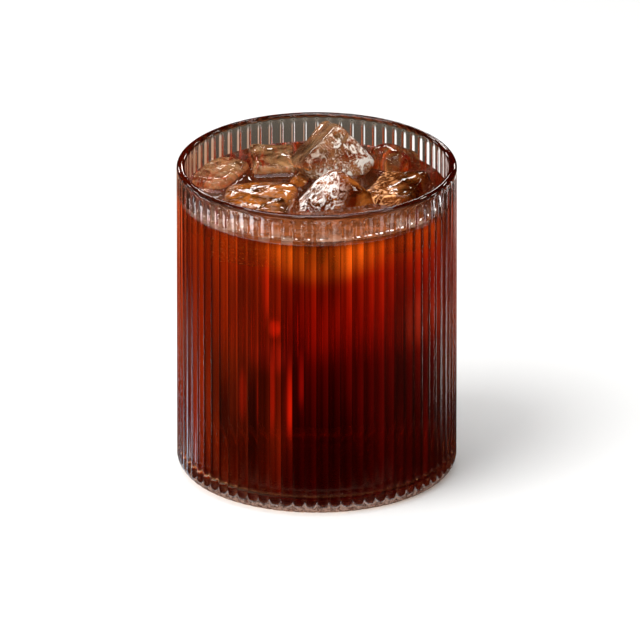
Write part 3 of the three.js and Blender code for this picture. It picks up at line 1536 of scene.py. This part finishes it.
@dataclass(frozen=True)
class Drop:
    """A flat drop on the inside of the wall.

    Attributes:
        azimuth: degrees from +X towards +Y.
        height: height of its middle.
        size: half its height.
    """

    azimuth: float
    height: float
    size: float


CLUSTERS = [
    Cluster((17.5, -10.5), 2.6, 12),
    Cluster((-31, -11), 3.0, 16),
    Cluster((-30, 2), 3.0, 8),
    Cluster((30, 13), 2.0, 7),
    Cluster((-3, -22), 3.0, 8),
]
BUBBLE_SEED = 77
WALL_BUBBLES = 60
WALL_DISTANCE = (0.5, 1.6)
BUBBLE_RADIUS = (0.16, 0.42)
BUBBLE_LIFT = 0.4
BUBBLE_SKIN = ClearBead("bubble_skin", (1.0, 0.8, 0.6, 1), 1.2)

DROPS = [
    Drop(-116.5, 90.9, 0.9),
    Drop(-112.5, 91.6, 0.6),
    Drop(-111.6, 90.2, 0.8),
    Drop(-110.8, 92.4, 0.45),
    Drop(-84.0, 91.2, 0.5),
    Drop(-70.0, 90.0, 0.7),
]
DROP_DEPTH = 0.5
DROP_WIDTH = 0.8
DROP_INSET = 0.1
DROP_WATER = ClearBead("drop_water", (0.97, 0.9, 0.84, 1), 1.333)


def bubbles(drink: Drink) -> Beads:
    """Scatters bubbles on the drink's surface, in clusters and along the wall.

    Args:
        drink: the drink.

    Returns:
        The bubbles, not yet built.
    """
    draw = np.random.default_rng(BUBBLE_SEED)
    spots = []
    for cluster in CLUSTERS:
        for _ in range(cluster.count):
            spots.append(np.array(cluster.middle) + draw.normal(size=2) * cluster.spread * 0.5)
    for angle in draw.uniform(0, 2 * math.pi, WALL_BUBBLES):
        radius = drink.glass.bore - draw.uniform(*WALL_DISTANCE)
        spots.append(radius * np.array([math.cos(angle), math.sin(angle)]))
    level = drink.surface(np.array([[x, y, 0] for x, y in spots]))
    sizes = draw.uniform(*BUBBLE_RADIUS, len(spots))
    places = []
    for (x, y), z, size in zip(spots, level, sizes):
        places.append(((x, y, z + size * BUBBLE_LIFT), (size, size, size)))
    return Beads("bubbles", places, BUBBLE_SKIN)


def drops(glass: Tumbler) -> Beads:
    """Sets flat drops on the inside of the wall above the drink.

    Args:
        glass: the glass.

    Returns:
        The drops, not yet built.
    """
    places = []
    for drop in DROPS:
        angle = math.radians(drop.azimuth)
        radius = glass.bore - drop.size * DROP_INSET
        middle = (radius * math.cos(angle), radius * math.sin(angle), drop.height)
        places.append((middle, (drop.size * DROP_DEPTH, drop.size * DROP_WIDTH, drop.size)))
    return Beads("drops", places, DROP_WATER)


class Seen(Enum):
    """Which rays meet a studio object."""

    CAMERA = ("camera", "diffuse", "shadow")
    MIRROR = ("glossy",)
    MIRROR_AND_THROUGH = ("glossy", "transmission")
    OPEN = ("glossy", "diffuse")


@dataclass
class Card:
    """One upright or tilted light card.

    Attributes:
        name: its name.
        centre: its middle, in millimetres.
        size: its width and height.
        facing: the point that it faces.
        finish: what it shows.
        seen: which rays meet it.
    """

    name: str
    centre: tuple[float, float, float]
    size: tuple[float, float]
    facing: tuple[float, float, float]
    finish: Glow
    seen: Seen

    def build(self) -> bpy.types.Object:
        """Makes the card as a stage object.

        Returns:
            The card.
        """
        across, up = self.size[0] / 2, self.size[1] / 2
        corners = np.array([[-across, -up, 0], [across, -up, 0], [across, up, 0], [-across, up, 0]])
        card = mesh_object(self.name, corners, [[0, 1, 2, 3]], self.finish.material())
        middle = Vector(self.centre) * MM
        card.location = middle
        card.rotation_euler = (Vector(self.facing) * MM - middle).to_track_quat("Z", "Y").to_euler()
        show_to(card, self.seen)
        return card


def show_to(obj: bpy.types.Object, seen: Seen) -> None:
    """Lets only the named kinds of ray meet a studio object."""
    for kind in ("camera", "diffuse", "glossy", "transmission", "shadow", "volume_scatter"):
        setattr(obj, "visible_" + kind, kind in seen.value)


@dataclass(frozen=True)
class Wedge:
    """One soft arc of light on the lit floor, round the glass.

    Attributes:
        azimuth: degrees from +X towards +Y.
        half_angle: how wide it is, in degrees.
        reach: distances from the glass's axis where it begins and ends.
        colour: what it adds.
    """

    azimuth: float
    half_angle: float
    reach: tuple[float, float]
    colour: tuple[float, float, float]

    def light(self, x: np.ndarray, y: np.ndarray) -> np.ndarray:
        """Works out what the arc adds at each place.

        Args:
            x: places along X.
            y: places along Y.

        Returns:
            Red, green and blue at each place.
        """
        off = np.degrees(np.arctan2(y, x)) - self.azimuth
        off = (off + 180) % 360 - 180
        middle, half = sum(self.reach) / 2, (self.reach[1] - self.reach[0]) / 2
        along = (np.hypot(x, y) - middle) / half
        return np.exp(-((off / self.half_angle) ** 4) - along**8)[..., None] * np.array(self.colour)


# Light on the floor that only the glass mirrors and bends, in millimetres from the glass's axis
FLOOR_LIGHTS = [
    Patch((0, 470), (420, 225), (0.25, 0.212, 0.168)),
    Patch((-4, 186), (50, 24), (0.3, 0.13, 0.05)),
    Patch((2, 150), (42, 60), (0.12, 0.04, 0.02)),
    Patch((6, 126), (5, 22), (1.2, 0.4, 0.2)),
    Patch((86, 130), (30, 80), (0.5, 0.12, 0.05)),
    Patch((-86, 130), (34, 80), (0.5, 0.16, 0.08)),
    Patch((-105, 225), (36, 70), (0.5, 0.27, 0.16), 20),
    Patch((105, 225), (36, 70), (1.2, 1.18, 1.15), -20),
    Patch((-95, 265), (9, 40), (0.3, 0.33, 0.37)),
    Patch((95, 265), (9, 40), (0.3, 0.33, 0.37)),
    Patch((-240, 0), (170, 170), (0.07, 0.024, 0.014)),
    Patch((240, 0), (170, 170), (0.07, 0.024, 0.014)),
    Patch((-94, 35), (75, 4), (2.4, 3.0, 3.5), 140),
    Wedge(215, 16, (257, 287), (12.0, 12.0, 12.4)),
    Wedge(278, 9, (257, 284), (2.4, 2.2, 2.1)),
    Wedge(322, 14, (257, 287), (2.8, 2.8, 2.9)),
    Patch((136, 70), (72, 5), (3.6, 3.7, 3.8), 40),
    Patch((0, -46), (44, 6), (0.26, 0.13, 0.09)),
]

# Way to each small card that sparkles on the ice: degrees from +Y towards +X, then degrees upward
SPARKLES = [
    (-50, 24), (-22, 38), (4, 20), (16, 50), (38, 30), (70, 22), (-95, 40), (-160, 60), (150, 62),
    (-70, 12), (-35, 60), (-8, 30), (24, 16), (55, 44), (90, 58), (-120, 20), (120, 30), (0, 66), (-30, 14),
]


@dataclass
class Studio:
    """Table, light and camera, none of them part of the object.

    Attributes:
        elevation: degrees by which the camera looks down.
        distance: from the camera to its aim.
        frame_width: width that it shows at its aim.
        aim: the point that it looks at.
        sensor: its sensor's width.
        clip: nearest and farthest distance that it shows, in metres.
        table_half: half the table's width.
        floor_half: half the lit floor's width.
        floor_cells: squares along each side of the lit floor.
        floor_drop: how far it lies under the table.
        card_aim: the point that the cards face.
        sparkle_distance: from there to each small card.
        sparkle_size: width and height of a small card.
        sparkle_strength: how bright it is.
        top_place: middle of the large card above the glass.
        top_size: width and height of that card.
        top_strength: how bright it is.
        sky_strength: how bright the even light from all round is.
        key_place: place of the lamp, in metres.
        key_size: its width in metres.
        key_power: its power in watts.
    """

    elevation: float = 22.6
    distance: float = 7000.0
    frame_width: float = 192.0
    aim: tuple[float, float, float] = (0.96, 0.0, 46.3)
    sensor: float = 36.0
    clip: Span = (0.1, 50)
    table_half: float = 6000.0
    floor_half: float = 420.0
    floor_cells: int = 280
    floor_drop: float = 0.5
    card_aim: tuple[float, float, float] = (0.0, 0.0, 85.0)
    sparkle_distance: float = 520.0
    sparkle_size: Span = (60, 30)
    sparkle_strength: float = 16.0
    top_place: tuple[float, float, float] = (-60, 60, 700)
    top_size: Span = (420, 420)
    top_strength: float = 3.2
    sky_strength: float = 0.55
    key_place: tuple[float, float, float] = (-0.5, -0.35, 0.9)
    key_size: float = 0.7
    key_power: float = 9.0

    def camera(self) -> None:
        """Makes the camera at the photograph's angle."""
        lift = math.radians(self.elevation)
        back = Vector((0, -math.cos(lift), math.sin(lift)))
        data = bpy.data.cameras.new("camera")
        data.sensor_width = self.sensor
        data.lens = self.sensor * self.distance / self.frame_width
        data.clip_start, data.clip_end = self.clip
        camera = link(bpy.data.objects.new("camera", data))
        camera.location = (Vector(self.aim) + back * self.distance) * MM
        camera.rotation_euler = (-back).to_track_quat("-Z", "Y").to_euler()
        bpy.context.scene.camera = camera

    def table(self) -> None:
        """Makes the pale table."""
        half = self.table_half
        corners = np.array([[-half, -half, 0], [half, -half, 0], [half, half, 0], [-half, half, 0]])
        plane = mesh_object("table", corners, [[0, 1, 2, 3]], PaleTable().material())
        show_to(plane, Seen.CAMERA)

    def lit_floor(self) -> None:
        """Makes the floor that shows only in and through the glass, lit in patches."""
        rows = self.floor_cells + 1
        line = np.linspace(-self.floor_half, self.floor_half, rows)
        x, y = np.meshgrid(line, line)
        points = np.stack([x, y, np.full_like(x, -self.floor_drop)], -1).reshape(-1, 3)
        number = np.arange(rows**2).reshape(rows, rows)
        corners = [number[:-1, :-1], number[:-1, 1:], number[1:, 1:], number[1:, :-1]]
        faces = np.stack(corners, -1).reshape(-1, 4).tolist()
        floor = mesh_object("lit_floor", points, faces, Painted("floor_light").material())
        carry(floor, "light", sum(patch.light(x, y) for patch in FLOOR_LIGHTS).reshape(-1, 3))
        show_to(floor, Seen.MIRROR_AND_THROUGH)

    def cards(self) -> None:
        """Makes the cards that show in the ice and the liquid's surface."""
        white = Glow("white_card", (1.0, 0.98, 0.96), self.sparkle_strength)
        for number, (azimuth, elevation) in enumerate(SPARKLES):
            turn, lift = math.radians(azimuth), math.radians(elevation)
            away = Vector((math.sin(turn) * math.cos(lift), math.cos(turn) * math.cos(lift), math.sin(lift)))
            centre = tuple(Vector(self.card_aim) + away * self.sparkle_distance)
            name = f"sparkle_{number + 1}"
            Card(name, centre, self.sparkle_size, self.card_aim, white, Seen.MIRROR).build()
        above = Glow("top_card", (1, 1, 1), self.top_strength)
        Card("card_top", self.top_place, self.top_size, self.card_aim, above, Seen.OPEN).build()

    def lights(self) -> None:
        """Makes the soft light that falls on the table and on frosted ice."""
        world = bpy.data.worlds.new("studio")
        world.use_nodes = True
        sky = world.node_tree.nodes["Background"]
        sky.inputs["Color"].default_value = (1, 1, 1, 1)
        sky.inputs["Strength"].default_value = self.sky_strength
        for kind in ("glossy", "transmission"):
            setattr(world.cycles_visibility, kind, False)
        bpy.context.scene.world = world
        data = bpy.data.lights.new("key", "AREA")
        data.shape = "DISK"
        data.size = self.key_size
        data.energy = self.key_power
        key = link(bpy.data.objects.new("key", data))
        key.location = self.key_place
        key.rotation_euler = (Vector((0, 0, 0.05)) - key.location).to_track_quat("-Z", "Y").to_euler()
        key.visible_glossy = False
        key.visible_transmission = False

    def look(self) -> None:
        """Sets how light is traced through the glass and how colours are shown."""
        scene = bpy.context.scene
        scene.view_settings.view_transform = "Standard"
        scene.cycles.max_bounces = 40
        scene.cycles.transmission_bounces = 36
        scene.cycles.glossy_bounces = 12
        scene.cycles.diffuse_bounces = 3
        scene.cycles.transparent_max_bounces = 24
        scene.cycles.sample_clamp_indirect = 6.0
        scene.cycles.blur_glossy = 0.3

    def build(self) -> None:
        """Sets up the whole studio."""
        self.camera()
        self.table()
        self.lit_floor()
        self.cards()
        self.lights()
        self.look()


def main() -> None:
    """Builds the studio, the glass, the ice and the drink, and reports each piece."""
    logging.basicConfig(level=logging.INFO, format="%(name)s: %(message)s")
    low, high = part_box("glass")
    tumbler = Tumbler(radius=(high.x - low.x) / 2 / MM, height=round(high.z / MM, 1))
    Studio().build()
    LOG.info("built the studio")
    LOG.info("made %s", tumbler.build().name)
    ice = Ice(tumbler, ICE).build()
    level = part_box("drink")[1].z / MM
    drink = Drink(tumbler, level, ICE)
    LOG.info("made %s", drink.build(ice).name)
    LOG.info("made %s", bubbles(drink).build().name)
    LOG.info("made %s", drops(tumbler).build().name)


if __name__ == "__main__":
    main()
